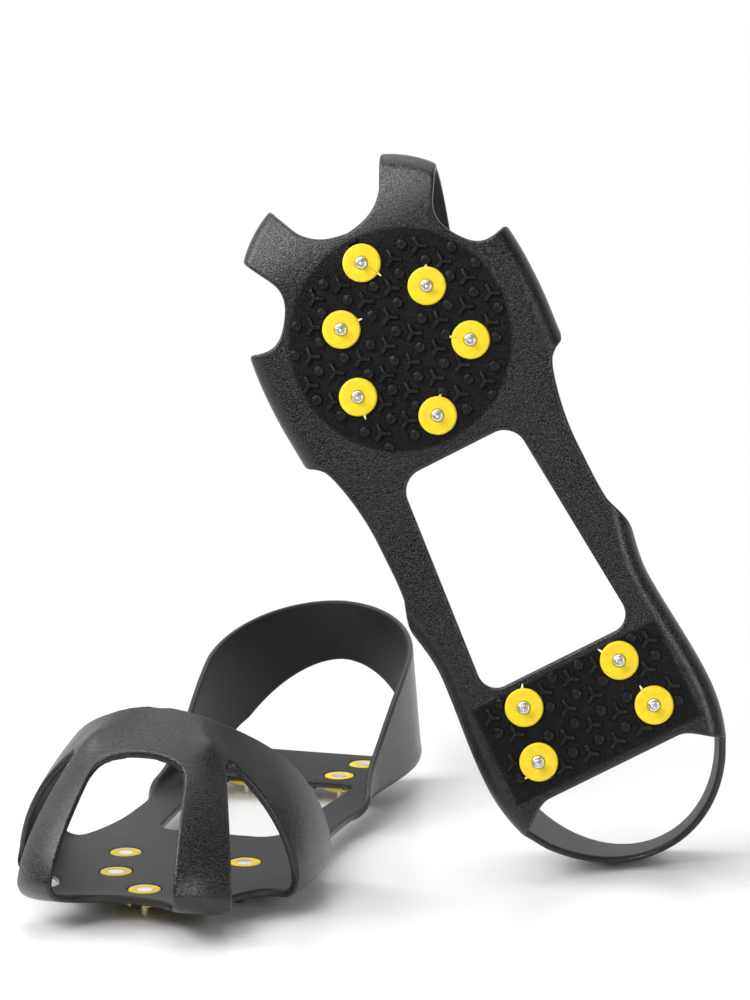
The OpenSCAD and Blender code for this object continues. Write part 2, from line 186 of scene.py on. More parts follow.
# The last, in millimetres: x across, y to the toe, z = 0 where the bed lies against it
fore_half_w, toe_reach, toe_square, toe_back = 53.5, 71.0, 2.3, 24
toe_h, toe_drop, toe_drop_from, toe_box = 68.0, 0.33, -45, 1.75
wall_z, spring_from, spring_run, spring_h = 3.7, 34, 37, 8
heel_mid, heel_half_w, heel_reach, heel_lean = -165, 44, 53, 0.08
toe_part, heel_part, hood_end = -34, -58, -60

# The rubber on it, with the places of the studs and the steps of their bores
bed_t, arm_t, turn_r, lip_r, fold_h = 3.2, 2.6, 4.0, 1.15, 9
bed_pad_r, strap_outer, strap_inner = 45, (40.3, 51.6), (23.3, 66.4)
stud_places = [(0, 32.3), (18.2, 13.3), (-18.2, 13.3), (23.9, -12.4), (-23.9, -12.4), (0, -32.3),
               (20, -145.1), (-20, -145.1), (24.2, -165.8), (-24.2, -165.8)]
bore_r, seat_r, seat_z, bore_top = 4.3, 6.35, -1.25, 8


def ease(v, low, high):
    """0 at low, 1 at high, smooth between; low may be above high."""
    t = np.clip((v - low) / (high - low), 0, 1)
    return t * t * (3 - 2 * t)


def join(a, b, fillet):
    """Two flat shapes as one, with a fillet where they meet."""
    h = np.maximum(fillet - np.abs(a - b), 0) / fillet
    return np.minimum(a, b) - h * h * fillet / 4


def meet(a, b, r):
    """What is inside both, with a round of radius r along the common edge."""
    u, v = np.maximum(a + r, 0), np.maximum(b + r, 0)
    return np.minimum(np.maximum(a, b), -r) + np.hypot(u, v)


def side_of(x, y, start, end):
    """Distance to the right of the line from start to end."""
    dx, dy = end[0] - start[0], end[1] - start[1]
    return ((x - start[0]) * dy - (y - start[1]) * dx) / math.hypot(dx, dy)


def slope_of(shape, value, x, y, z, e=0.1):
    """How a shape's value grows along x, y and z, from its value at the place."""
    return [(shape(*at) - value) / e for at in ((x + e, y, z), (x, y + e, z), (x, y, z + e))]


def toe_level(x, y, z):
    """The toe box: 0 on its surface, more outside."""
    back = np.minimum(y, 0)
    flat = np.where(y < 0, back / (1 + (back / toe_back) ** 4) ** 0.25, y)
    share = (np.abs(x) / fore_half_w) ** toe_square + (np.abs(flat) / toe_reach) ** toe_square
    share = share ** (1 / toe_square)
    rise = np.maximum(z - wall_z, 0) / (toe_h - toe_drop * np.maximum(y, toe_drop_from) - wall_z)
    return (share ** toe_box + rise ** toe_box) ** (1 / toe_box) - 1


def toe_wall(x, y, z):
    """Distance outside the toe box, in millimetres."""
    level = toe_level(x, y, z)
    gx, gy, gz = slope_of(toe_level, level, x, y, z)
    return level / np.maximum(np.sqrt(gx * gx + gy * gy + gz * gz), 0.004)


def waist_half(y):
    """Half width of the last behind the forefoot, narrowest at the waist."""
    waist_in, fore_out = 3.2, 11.5
    return heel_half_w - waist_in * ease(y, heel_mid, -114) + fore_out * ease(y, -122, heel_part)


def heel_plan(x, y):
    """The waist and heel seen from above: sides that close in, and a round back."""
    behind = y - heel_mid
    far = np.hypot(x / heel_half_w, behind / heel_reach) + 1e-6
    back = (far - 1) * far / np.hypot(x / heel_half_w ** 2, behind / heel_reach ** 2).clip(1e-4)
    return np.where(y > heel_mid, np.abs(x) - waist_half(y), back)


def heel_wall(x, y, z):
    """Distance outside the heel, whose walls lean in as they rise."""
    return heel_plan(x, y) + heel_lean * np.maximum(z - wall_z, 0)


def spring_z(y):
    """Underside of the last, which springs up a little at the toe."""
    return spring_h * (np.maximum(y - spring_from, 0) / spring_run) ** 2


def off_last(x, y, z):
    """Distance off the last, with a swelling where each toe strap runs into the band."""
    knot_h, knot_x, knot_y, knot_spread, knot_z = 1.5, 23, 24, 34, 20
    knot = np.exp(-((np.abs(x) - knot_x) ** 2 + (y - knot_y) ** 2) / knot_spread)
    knot = knot_h * knot * (z > knot_z)
    part = ease(y, toe_part, heel_part)
    wall = (toe_wall(x, y, z) - knot) * (1 - part) + heel_wall(x, y, z) * part
    return meet(wall, spring_z(y) - z, turn_r)


def heel_strap(x, y, z):
    """Outline of rails and heel strap, measured over the turn at the bed's edge. The
    upper edge leaves the rail and climbs to the back, the lower one leaves the heel pad."""
    rail_half, strap_from, strap_top, strap_foot, climb_power = 42.3, -112, 54, 28, 1.8
    gusset_w, gusset_from, gusset_l, heel_edge, heel_horn = 8, 25.5, 40.5, -180, 9
    rail_sink, strap_fillet, foot_from, foot_run = 2, 22, 1.333, 0.667
    turn = np.degrees(np.arctan2(np.maximum(heel_mid - y, 0) / heel_reach, np.abs(x) / heel_half_w))
    along = np.where(y > heel_mid, (strap_from - y) / (strap_from - heel_mid), 1 + turn / 90)
    plan = heel_plan(x, y)
    bend = np.arctan2(np.maximum(plan + turn_r, 0), np.maximum(turn_r - z, 1e-3))
    girth = np.where(z > turn_r, z - turn_r + (math.pi / 2 - 1) * turn_r,
                     np.where(plan < -turn_r, plan, turn_r * bend - turn_r))

    def climb(s, height):
        return np.where(s < 0, climb_power * s, 1 - np.maximum(1 - s, 0) ** climb_power) * height

    gusset = gusset_w * (1 - np.clip((-y - gusset_from) / gusset_l, 0, 1)) ** 2
    rail = waist_half(y) - rail_half - gusset
    upper = girth + join(rail, -rail_sink - climb(along / 2, strap_top), strap_fillet)
    above = ease(z, 0, fold_h)
    rear = heel_edge - heel_horn * ease(np.abs(x), 27, 45) - y
    foot = climb((along - foot_from) / foot_run, strap_foot) - z + wall_z
    lower = rear * (1 - above) + foot * above
    return np.maximum(upper, lower)


def bed_cut(x, y, z):
    """Outline of the bed: pad, roots of arms and straps, rails, heel and the waist window."""
    root_outer, root_inner, root_r = (29, 32), (11.5, 41), 36
    arm_back, arm_fore, arm_fillet = math.radians(25), math.radians(21), 11
    rail_front, rail_fillet = -14, 12
    window_mid, window_half_l, window_half_w, window_flare, window_r = -91, 43.5, 24, 7, 8
    ax, far = np.abs(x), np.hypot(x, y)
    strap = np.maximum(side_of(ax, y, root_outer, strap_outer), side_of(ax, y, strap_inner, root_inner))
    strap = np.maximum(strap, root_r - far)
    arm = np.maximum(-ax * math.sin(arm_back) - y * math.cos(arm_back),
                     -ax * math.sin(arm_fore) + y * math.cos(arm_fore))
    pad = join(join(far - bed_pad_r, strap, 10 + 6 * ease(ax, 26, 14)), arm, arm_fillet)
    rails = np.maximum(heel_strap(x, y, z), y - rail_front)
    half = window_half_w + window_flare * (window_mid + window_half_l - y) / (2 * window_half_l)
    window = meet(ax - half, np.abs(y - window_mid) - window_half_l, window_r)
    return np.maximum(join(pad, rails, rail_fillet), -window)


def hood_cut(x, y):
    """Outline of the hood seen from above: band and arms, and two toe straps."""
    band_rear, band_fore, arm_sweep, brow = 14, 23, 33.05, 10
    top_outer, top_inner = (27, 19), (16.5, 29)
    ax = np.abs(x)
    rear = band_rear - arm_sweep * (ax / 52.35) ** 2.6
    fore = band_fore - 3 * (ax / 51.9) ** 6 + brow * np.exp(-(ax / 18.4) ** 4)
    band = np.maximum(rear - y, y - fore)
    strap = np.maximum(side_of(ax, y, top_outer, strap_outer), side_of(ax, y, strap_inner, top_inner))
    strap = np.maximum(strap, band_fore - y)
    return join(band, strap, 4 + 11 * ease(ax, 27, 17))


def cut(x, y, z):
    """Inside the rubber's outline where below 0: the bed, and above it the hood."""
    above = np.where(y > hood_end, ease(z - spring_z(y), 0, fold_h), 0)
    return bed_cut(x, y, z) * (1 - above) + hood_cut(x, y) * above


def rubber(x, y, z):
    """Distance to the moulding's surface, below 0 in the rubber, and to its outline."""
    off, edge = off_last(x, y, z), cut(x, y, z)
    nx, ny, nz = slope_of(off_last, off, x, y, z)
    length = np.sqrt(nx * nx + ny * ny + nz * nz) + 1e-6
    nx, ny, nz = nx / length, ny / length, nz / length
    gx, gy, gz = slope_of(cut, edge, x, y, z)
    along = gx * nx + gy * ny + gz * nz
    slope = np.sqrt((gx - along * nx) ** 2 + (gy - along * ny) ** 2 + (gz - along * nz) ** 2)
    edge = edge / np.clip(slope, 0.45, 3)
    thick = bed_t + (arm_t - bed_t) * ease(z, -1, 7)
    skin = meet(np.abs(off - thick / 2) - thick / 2, edge, lip_r)
    for sx, sy in stud_places:
        far = np.hypot(x - sx, y - sy)
        bore = np.maximum(bore_r - far, np.minimum(seat_r - far, z - seat_z))
        skin = np.where(z < bore_top, np.maximum(skin, bore), skin)
    return skin, edge


# The skin is sampled on a grid, near the last only, and netted over: one point in each
# cell that the surface passes through, and one face across each grid edge that it cuts.
cell = 0.65
low, high = np.array([-59.4, -222.3, -4.6]), np.array([59.4, 76.0, 71.0])
outside, level_mm, near_in, near_out = 5.0, 62, -4.5, 9
count = np.ceil((high - low) / cell).astype(int) + 1
grid = [low[i] + cell * np.arange(count[i]) for i in range(3)]
field = np.full(count, outside, np.float32)
for i in range(count[0]):
    gy, gz = np.meshgrid(grid[1], grid[2], indexing="ij")
    gx = np.full_like(gy, grid[0][i])
    wall = np.where(gy > heel_part, toe_level(gx, gy, gz) * level_mm, heel_wall(gx, gy, gz))
    off = meet(wall, spring_z(gy) - gz, turn_r)
    near = (off > near_in) & (off < near_out)
    field[i][near] = rubber(gx[near], gy[near], gz[near])[0]

solid = field < 0
span = count - 1
corners = [(i, j, k) for i in (0, 1) for j in (0, 1) for k in (0, 1)]
full = sum(solid[i:i + span[0], j:j + span[1], k:k + span[2]].astype(np.int8) for i, j, k in corners)
cells = np.argwhere((full > 0) & (full < 8))
number = np.full(span, -1)
number[tuple(cells.T)] = np.arange(len(cells))
crossings, hits = np.zeros((len(cells), 3)), np.zeros(len(cells))
for first in corners:
    for axis in range(3):
        if first[axis] == 0:
            step = np.eye(3, dtype=int)[axis]
            a, b = field[tuple((cells + first).T)], field[tuple((cells + first + step).T)]
            crossed = (a < 0) != (b < 0)
            t = a[crossed] / (a[crossed] - b[crossed])
            crossings[crossed] += np.array(first) + t[:, None] * step
            hits[crossed] += 1
points = low + cell * (cells + crossings / hits[:, None])
quads = []
for axis in range(3):
    one, two = np.eye(3, dtype=int)[(axis + 1) % 3], np.eye(3, dtype=int)[(axis + 2) % 3]
    ends = [slice(None)] * 3
    ends[axis] = slice(0, -1)
    begin = solid[tuple(ends)]
    ends[axis] = slice(1, None)
    edges = np.argwhere(begin != solid[tuple(ends)])
    inside = begin[tuple(edges.T)]
    ring = np.stack([number[tuple((edges - o).T)] for o in (0 * one, one, one + two, two)], 1)
    ring[~inside] = ring[~inside][:, ::-1]
    quads.append(ring)
quads = np.concatenate(quads)


def drawn(points):
    """Points one step nearer to the moulding's surface, and the way out of the rubber there."""
    x, y, z = points.T
    value = rubber(x, y, z)[0]
    slope = np.stack(slope_of(lambda *at: rubber(*at)[0], value, x, y, z), 1)
    push = value / np.maximum((slope ** 2).sum(1), 0.25)
    return points - slope * np.clip(push, -0.5, 0.5)[:, None], slope


def unit(ways):
    """The same directions, each one long."""
    return ways / np.maximum(np.linalg.norm(ways, axis=1), 1e-9)[:, None]


# The net is drawn onto the exact surface, and its points slide along it to even spacing.
rounds, slides = 6, 2
pairs = np.concatenate([quads[:, [i, (i + 1) % 4]] for i in range(4)])
neighbours = np.bincount(pairs.ravel())
for _ in range(rounds):
    points, outward = drawn(points)
    outward = unit(outward)
    for _ in range(slides):
        total = np.zeros_like(points)
        np.add.at(total, pairs[:, 0], points[pairs[:, 1]])
        np.add.at(total, pairs[:, 1], points[pairs[:, 0]])
        slide = 0.5 * (total / neighbours[:, None] - points)
        points = points + slide - outward * (slide * outward).sum(1)[:, None]
points = drawn(points)[0]

# Flat stretches need fewer faces than the lips, so the net is thinned and drawn tight again.
thinned_to = 0.47
net = bpy.data.meshes.new("net")
net.from_pydata(points.tolist(), [], quads.tolist())
host = bpy.data.objects.new("net", net)
scene.collection.objects.link(host)
host.modifiers.new("thin", "DECIMATE").ratio = thinned_to
bpy.context.view_layer.update()
frame_shape = bpy.data.meshes.new_from_object(host.evaluated_get(bpy.context.evaluated_depsgraph_get()))
bpy.data.objects.remove(host)
points = np.empty(3 * len(frame_shape.vertices), np.float32)
frame_shape.vertices.foreach_get("co", points)
points, outward = drawn(drawn(points.reshape(-1, 3).astype(float))[0])
frame_shape.vertices.foreach_set("co", points.astype(np.float32).ravel())
frame_shape.update()

# What the material needs to know: the way in from the outline, the inner face, and the place
inner_skin, farthest_in = 0.8, 30
x, y, z = points.T
way_in, inner_face = np.clip(-rubber(x, y, z)[1], -2, farthest_in), off_last(x, y, z) < inner_skin
for name, value in (("way_in", way_in), ("inner_face", inner_face)):
    marked = frame_shape.attributes.new(name, "FLOAT", "POINT")
    marked.data.foreach_set("value", value.astype(np.float32))
on_cleat = frame_shape.attributes.new("on_cleat", "FLOAT_VECTOR", "POINT")
on_cleat.data.foreach_set("vector", points.astype(np.float32).ravel())

# Shading follows the exact surface, but beside broad flat faces it follows those faces.
small_face, broad_face = 0.8, 2.5
faces = frame_shape.polygons
sides, area, facing = np.empty(len(faces), int), np.empty(len(faces)), np.empty(3 * len(faces))
faces.foreach_get("loop_total", sides)
faces.foreach_get("area", area)
faces.foreach_get("normal", facing)
at_corner = np.empty(len(frame_shape.loops), int)
frame_shape.loops.foreach_get("vertex_index", at_corner)
total, broadest = np.zeros_like(points), np.zeros(len(points))
np.add.at(total, at_corner, np.repeat(area[:, None] * facing.reshape(-1, 3), sides, axis=0))
np.maximum.at(broadest, at_corner, np.repeat(area, sides))
share = ease(broadest, small_face, broad_face)[:, None]
outward = unit(unit(outward) * (1 - share) + unit(total) * share)
faces.foreach_set("use_smooth", [True] * len(faces))
frame_shape.normals_split_custom_set_from_vertices(outward.tolist())

# Where the two cleats stand: one with its toe to the camera, its mate on its heel
millimetres = Matrix.Scale(0.001, 4)
lean_place = Matrix.Translation((0.067428, 0.071635, 0.191772))
lean_turn, lean_back, lean_side = math.radians(9), math.radians(-10.5), math.radians(-28)
lean = (lean_place @ Matrix.Rotation(lean_turn, 4, "Z") @ Matrix.Rotation(lean_back, 4, "X")
        @ Matrix.Rotation(lean_side, 4, "Y") @ Matrix.Rotation(math.pi, 4, "Z")
        @ Matrix.Rotation(math.pi / 2, 4, "X"))
cleats = {"standing": Matrix.Rotation(math.pi, 4, "Z"), "leaning": lean}

# Black rubber: a fine worm-like grain and a cloudy bloom, dull on the tread's pads and inside
heel_pad_mid = -157.25
black_rubber, nodes, surface = new_material("black_rubber")
swirl = nodes.noise(1150.0, 1.0, 0.5)
worms = 1 - nodes.math("ABSOLUTE", swirl - 0.5).step(0.0, 0.14)
fine, bloom = nodes.noise(2600.0, 2.0), nodes.noise(34.0, 4.0)
lip = 1 - nodes.stored("way_in").step(0.2, 2.4)
inner = nodes.stored("inner_face")
at = nodes.add("ShaderNodeSeparateXYZ", None, {0: nodes.stored("on_cleat", "Vector")})
forefoot = 1 - nodes.math("SQRT", at["X"] * at["X"] + at["Y"] * at["Y"]).step(41.5, 43.5)
across, along = nodes.math("ABSOLUTE", at["X"]), nodes.math("ABSOLUTE", at["Y"] - heel_pad_mid)
heel = (1 - across.step(37.5, 39.5)) * (1 - along.step(19.0, 20.6))
pad = nodes.math("MAXIMUM", forefoot, heel) * (1 - at["Z"].step(-2.4, -2.0))
pad = nodes.math("MAXIMUM", pad, nodes.stored("tread_pad"))
height = worms * 0.5 + fine * 0.15
bump = nodes.add("ShaderNodeBump", None, {"Strength": 0.7, "Distance": 0.00014, "Height": height})
tone = (bloom.step(0.35, 0.75) * 0.4 + worms * 0.5) * (1 - pad * 0.6)
tone = tone.blend((0.0020, 0.0021, 0.0024, 1), (0.0105, 0.0107, 0.0118, 1))
rough = 0.19 + bloom * 0.09 + fine * 0.05 - lip * 0.02 + inner * 0.30
shine = nodes.add("ShaderNodeBsdfPrincipled", None,
                  {"Base Color": tone, "Roughness": rough, "Normal": bump, "Specular IOR Level": 0.58})
dull = nodes.add("ShaderNodeBsdfPrincipled", None,
                 {"Base Color": tone, "Roughness": rough + 0.06, "Normal": bump, "Specular IOR Level": 0.2})
skin = nodes.add("ShaderNodeMixShader", None, {0: pad, 1: shine, 2: dull})
nodes.tree.links.new(skin.socket, surface)

for cleat, stand in cleats.items():
    moulding = bpy.data.objects.new(cleat + "_moulding", frame_shape.copy())
    moulding.data.transform(stand @ millimetres)
    moulding.data.materials.append(black_rubber)
    scene.collection.objects.link(moulding)
    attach(moulding, cleat + "_cleat")
    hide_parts(cleat + "_frame")

# Tread: low round dots and three-armed bosses moulded under the forefoot pad and the
# heel pad, one of each on every cell of a hexagonal pattern, cut off at the border of
# the pads and round each collar. The same rubber as the frame, with softened edges.
pitch, boss_t, sunk, rim_r = 0.011, 0.0018, 0.0004, 0.00042
dot_r, dot_steps, arm_len, arm_half = 0.0020, 16, 0.0037, 0.0008
bed_under, cutter_h, disc_steps, ring_steps = -bed_t / 1000, 0.03, 96, 48
sharp_from = math.radians(34)


def boss(name, outline):
    """A low boss under the bed with the given outline and a softened lower rim."""
    shape = bmesh.new()
    top = shape.faces.new([shape.verts.new((x, y, bed_under + sunk)) for x, y in outline])
    pulled = bmesh.ops.extrude_face_region(shape, geom=[top])["geom"]
    below = [v for v in pulled if isinstance(v, bmesh.types.BMVert)]
    bmesh.ops.translate(shape, verts=below, vec=(0, 0, -boss_t - sunk))
    rim = [e for e in shape.edges if all(v in below for v in e.verts)]
    bmesh.ops.bevel(shape, geom=rim, offset=rim_r, segments=2, profile=0.5, affect="EDGES")
    bmesh.ops.recalc_face_normals(shape, faces=shape.faces)
    mesh = bpy.data.meshes.new(name)
    shape.to_mesh(mesh)
    shape.free()
    made = bpy.data.objects.new(name, mesh)
    scene.collection.objects.link(made)
    return made


def round_the_axis(steps):
    """Evenly spaced angles, once round."""
    return np.linspace(0, 2 * math.pi, steps + 1)[:-1]


dot = boss("dot", [(dot_r * math.cos(a), dot_r * math.sin(a)) for a in round_the_axis(dot_steps)])
outline = []
for k in range(3):
    a = math.radians(90 + 120 * k)
    along, across = Vector((math.cos(a), math.sin(a))), Vector((-math.sin(a), math.cos(a)))
    crotch = Vector((math.cos(a + math.pi / 3), math.sin(a + math.pi / 3)))
    outline += [arm_len * along - arm_half * across, arm_len * along + arm_half * across,
                arm_half / math.cos(math.pi / 6) * crotch]
arms = boss("arms", outline)

tree = bpy.data.node_groups.new("tread_pattern", "GeometryNodeTree")
for name, kind in (("Studs", "Geometry"), ("Pitch", "Float"), ("Pad Radius", "Float"),
                   ("Heel Half Width", "Float"), ("Heel Front", "Float"), ("Heel Rear", "Float"),
                   ("Collar Ring", "Float"), ("Dot", "Object"), ("Arms", "Object"), ("Rubber", "Material")):
    tree.interface.new_socket(name, in_out="INPUT", socket_type="NodeSocket" + kind)
tree.interface.new_socket("Tread", in_out="OUTPUT", socket_type="NodeSocketGeometry")
nodes = Wire(tree)
size = nodes.add("NodeGroupInput")


def joined(first, second):
    """Two geometries of the tread's tree as one."""
    both = nodes.add("GeometryNodeJoinGeometry", None, {0: first})
    tree.links.new(second.socket, both.socket.node.inputs[0])
    return both


# The hexagonal pattern is two square ones, half a pitch and a row apart.
row = size["Pitch"] * math.sqrt(0.75)
columns, rows_to_heel = 11, 8
lattice = []
for rows, shift in ((13, 0.0), (12, 0.5)):
    plot = nodes.add("GeometryNodeMeshGrid", None, {
        "Size X": size["Pitch"] * (columns - 1), "Size Y": row * (2 * rows - 2),
        "Vertices X": columns, "Vertices Y": rows})
    at = nodes.add("ShaderNodeCombineXYZ", None, {"X": size["Pitch"] * shift,
                                                  "Y": size["Pitch"] / math.sqrt(12) - row * rows_to_heel})
    lattice.append(nodes.add("GeometryNodeTransform", None, {"Geometry": plot, "Translation": at}))
spots = joined(lattice[0], lattice[1])
up = nodes.add("ShaderNodeCombineXYZ", None, {"Y": size["Pitch"] / math.sqrt(3)})
between = nodes.add("GeometryNodeTransform", None, {"Geometry": spots, "Translation": up})

# Only bosses that reach a pad are set, and those under a collar are left out.
here = nodes.add("GeometryNodeInputPosition")
part = nodes.add("ShaderNodeSeparateXYZ", None, {0: here})
from_middle = nodes.add("ShaderNodeVectorMath", {"operation": "LENGTH"}, {0: here}, "Value")
from_stud = nodes.add("GeometryNodeProximity", {"target_element": "POINTS"}, {0: size["Studs"]}, "Distance")
bosses = []
for where, thing, inside in ((spots, "Dot", 0.0002), (between, "Arms", 0.0005)):
    on_pad = nodes.math("LESS_THAN", from_middle, size["Pad Radius"] - inside)
    across = nodes.math("ABSOLUTE", part["X"])
    on_heel = (nodes.math("LESS_THAN", across, size["Heel Half Width"] - inside)
               * nodes.math("LESS_THAN", part["Y"], size["Heel Front"] - inside)
               * nodes.math("GREATER_THAN", part["Y"], size["Heel Rear"] + inside))
    clear = nodes.math("GREATER_THAN", from_stud, size["Collar Ring"] + inside)
    form = nodes.add("GeometryNodeObjectInfo", None, {"Object": size[thing]}, "Geometry")
    bosses.append(nodes.add("GeometryNodeInstanceOnPoints", None, {
        "Points": where, "Selection": clear * nodes.math("MAXIMUM", on_pad, on_heel), "Instance": form}))
whole = nodes.add("GeometryNodeRealizeInstances", None, {0: joined(bosses[0], bosses[1])})

# What stands over the border of a pad or of a collar's ring is cut off.
disc = nodes.add("GeometryNodeMeshCylinder", None,
                 {"Vertices": disc_steps, "Radius": size["Pad Radius"], "Depth": cutter_h}, "Mesh")
block = nodes.add("GeometryNodeMeshCube", None, {"Size": nodes.add("ShaderNodeCombineXYZ", None, {
    "X": size["Heel Half Width"] * 2, "Y": size["Heel Front"] - size["Heel Rear"], "Z": cutter_h})}, "Mesh")
block = nodes.add("GeometryNodeTransform", None, {"Geometry": block, "Translation": nodes.add(
    "ShaderNodeCombineXYZ", None, {"Y": (size["Heel Front"] + size["Heel Rear"]) * 0.5})})
kept = nodes.add("GeometryNodeMeshBoolean", {"operation": "INTERSECT", "solver": "EXACT"}, {1: whole}, "Mesh")
tree.links.new(joined(disc, block).socket, kept.socket.node.inputs[1])
ring = nodes.add("GeometryNodeMeshCylinder", None,
                 {"Vertices": ring_steps, "Radius": size["Collar Ring"], "Depth": cutter_h}, "Mesh")
rings = nodes.add("GeometryNodeRealizeInstances", None, {0: nodes.add(
    "GeometryNodeInstanceOnPoints", None, {"Points": size["Studs"], "Instance": ring})})
kept = nodes.add("GeometryNodeMeshBoolean", {"operation": "DIFFERENCE", "solver": "EXACT"},
                 {0: kept, 1: rings}, "Mesh")
kept = nodes.add("GeometryNodeStoreNamedAttribute", {"data_type": "FLOAT", "domain": "POINT"},
                 {"Geometry": kept, "Name": "tread_pad", "Value": 0.8})
done = nodes.add("GeometryNodeSetMaterial", None, {"Geometry": kept, "Material": size["Rubber"]})
tree.links.new(done.socket, tree.nodes.new("NodeGroupOutput").inputs[0])

points_mesh = bpy.data.meshes.new("stud_points")
points_mesh.from_pydata([(x / 1000, y / 1000, 0) for x, y in stud_places], [], [])


def grown(tree, settings):
    """The mesh that a tree grows on the stud places with these settings."""
    host = bpy.data.objects.new("stud_points", points_mesh)
    scene.collection.objects.link(host)
    modifier = host.modifiers.new("grow", "NODES")
    modifier.node_group = tree
    named = {s.name: s.identifier for s in tree.interface.items_tree if s.in_out == "INPUT"}
    for name, value in settings.items():
        modifier[named[name]] = value
    bpy.context.view_layer.update()
    mesh = bpy.data.meshes.new_from_object(host.evaluated_get(bpy.context.evaluated_depsgraph_get()))
    bpy.data.objects.remove(host)
    return mesh


def stand_on(cleat, kind, mesh, *replaced):
    """Puts a mesh drawn in a cleat's own frame on that cleat."""
    piece = bpy.data.objects.new(cleat + "_" + kind, mesh)
    mesh.transform(cleats[cleat])
    mesh.polygons.foreach_set("use_smooth", [True] * len(mesh.polygons))
    mesh.set_sharp_from_angle(angle=sharp_from)
    scene.collection.objects.link(piece)
    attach(piece, cleat + "_cleat")
    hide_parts(*replaced)
    return piece


tread_mesh = grown(tree, {"Pitch": pitch, "Pad Radius": 0.042, "Heel Half Width": 0.0374,
                          "Heel Front": -0.1375, "Heel Rear": -0.177, "Collar Ring": 0.0081,
                          "Dot": dot, "Arms": arms, "Rubber": black_rubber})
for cleat in cleats:
    stand_on(cleat, "bosses", tread_mesh.copy(), cleat + "_tread")
bpy.data.objects.remove(dot)
bpy.data.objects.remove(arms)

# Collars: ten yellow nylon spools a cleat, injection moulded, that grip the rubber
# between a wide outer flange and a smaller inner one. Each keeps a pale stub on its rim
# where it was snapped off its runner, so every collar sits at its own angle.
flange_r, collar_steps, collar_seed, any_turn = 7.30, 56, 5, 6.28
stub_x, stub_z, stub_size, stub_rim = 0.0080, -0.0043, (0.0020, 0.0011, 0.0009, 1), 0.00014


def lathe(profile, steps):
    """A turned form from (radius, height) in millimetres, listed up its outside and down its bore."""
    shape = bmesh.new()
    rings = []
    for r, z in profile:
        if r == 0:
            rings.append([shape.verts.new((0, 0, z / 1000))] * steps)
        else:
            rings.append([shape.verts.new((r / 1000 * math.cos(a), r / 1000 * math.sin(a), z / 1000))
                          for a in round_the_axis(steps)])
    closed = profile[0][0] > 0
    for i in range(len(rings) if closed else len(rings) - 1):
        a, b = rings[i], rings[(i + 1) % len(rings)]
        for k in range(steps):
            corners = []
            for v in (a[k], a[(k + 1) % steps], b[(k + 1) % steps], b[k]):
                if v not in corners:
                    corners.append(v)
            shape.faces.new(corners)
    bmesh.ops.recalc_face_normals(shape, faces=shape.faces)
    return shape


def finished(name, shape):
    """An object of a turned form that stores where each point lies about its axis."""
    mesh = bpy.data.meshes.new(name)
    far = [v.co.xy.length * 1000 for v in shape.verts]
    high = [v.co.z * 1000 for v in shape.verts]
    bearing = [abs(math.atan2(v.co.y, v.co.x)) for v in shape.verts]
    shape.to_mesh(mesh)
    shape.free()
    for kind, values in (("from_axis", far), ("height", high), ("bearing", bearing)):
        mesh.attributes.new(kind, "FLOAT", "POINT").data.foreach_set("value", values)
    made = bpy.data.objects.new(name, mesh)
    scene.collection.objects.link(made)
    return made


shape = lathe([
    (1.54, -5.40), (2.6, -5.40), (6.1, -5.40), (6.55, -5.37), (6.9, -5.24), (7.14, -5.02), (7.27, -4.72),
    (flange_r, -4.4), (flange_r, -3.6), (7.24, -3.36), (7.08, -3.22), (6.9, -3.20), (4.0, -3.20),
    (4.0, -1.2), (5.8, -1.2), (6.0, -1.05), (6.0, -0.4), (5.9, -0.16), (5.65, -0.05), (3.2, -0.05),
    (3.04, -0.2), (3.04, -0.9), (1.54, -0.9)], collar_steps)
stub = bmesh.ops.create_cube(shape, size=1.0, matrix=Matrix.Translation((stub_x, 0, stub_z))
                             @ Matrix.Diagonal(stub_size))["verts"]
for v in stub:
    if v.co.x > stub_x:
        v.co.y = 0.4 * v.co.y + 0.0003
        v.co.z = stub_z + 0.5 * (v.co.z - stub_z)
edges = list({e for v in stub for e in v.link_edges})
bmesh.ops.bevel(shape, geom=edges, offset=stub_rim, segments=2, profile=0.5, affect="EDGES")
collar = finished("collar", shape)

tree = bpy.data.node_groups.new("on_each_stud", "GeometryNodeTree")
for name, kind in (("Studs", "Geometry"), ("Form", "Object"), ("Turn", "Float"), ("Seed", "Int"),
                   ("Finish", "Material")):
    tree.interface.new_socket(name, in_out="INPUT", socket_type="NodeSocket" + kind)
tree.interface.new_socket("Row", in_out="OUTPUT", socket_type="NodeSocketGeometry")
nodes = Wire(tree)
given = nodes.add("NodeGroupInput")
spin = nodes.add("FunctionNodeRandomValue", {"data_type": "FLOAT"},
                 {2: 0.0, 3: given["Turn"], 8: given["Seed"]}, 1)
turned = nodes.add("ShaderNodeCombineXYZ", None, {"Z": spin})
form = nodes.add("GeometryNodeObjectInfo", None, {"Object": given["Form"]}, "Geometry")
rows = nodes.add("GeometryNodeInstanceOnPoints", None,
                 {"Points": given["Studs"], "Instance": form, "Rotation": turned})
chance = nodes.add("FunctionNodeRandomValue", {"data_type": "FLOAT"},
                   {2: 0.0, 3: 1.0, 8: given["Seed"] + 1}, 1)
rows = nodes.add("GeometryNodeStoreNamedAttribute", {"data_type": "FLOAT", "domain": "INSTANCE"},
                 {"Geometry": rows, "Name": "chance", "Value": chance})
rows = nodes.add("GeometryNodeRealizeInstances", None, {0: rows})
rows = nodes.add("GeometryNodeSetMaterial", None, {"Geometry": rows, "Material": given["Finish"]})
tree.links.new(rows.socket, tree.nodes.new("NodeGroupOutput").inputs[0])

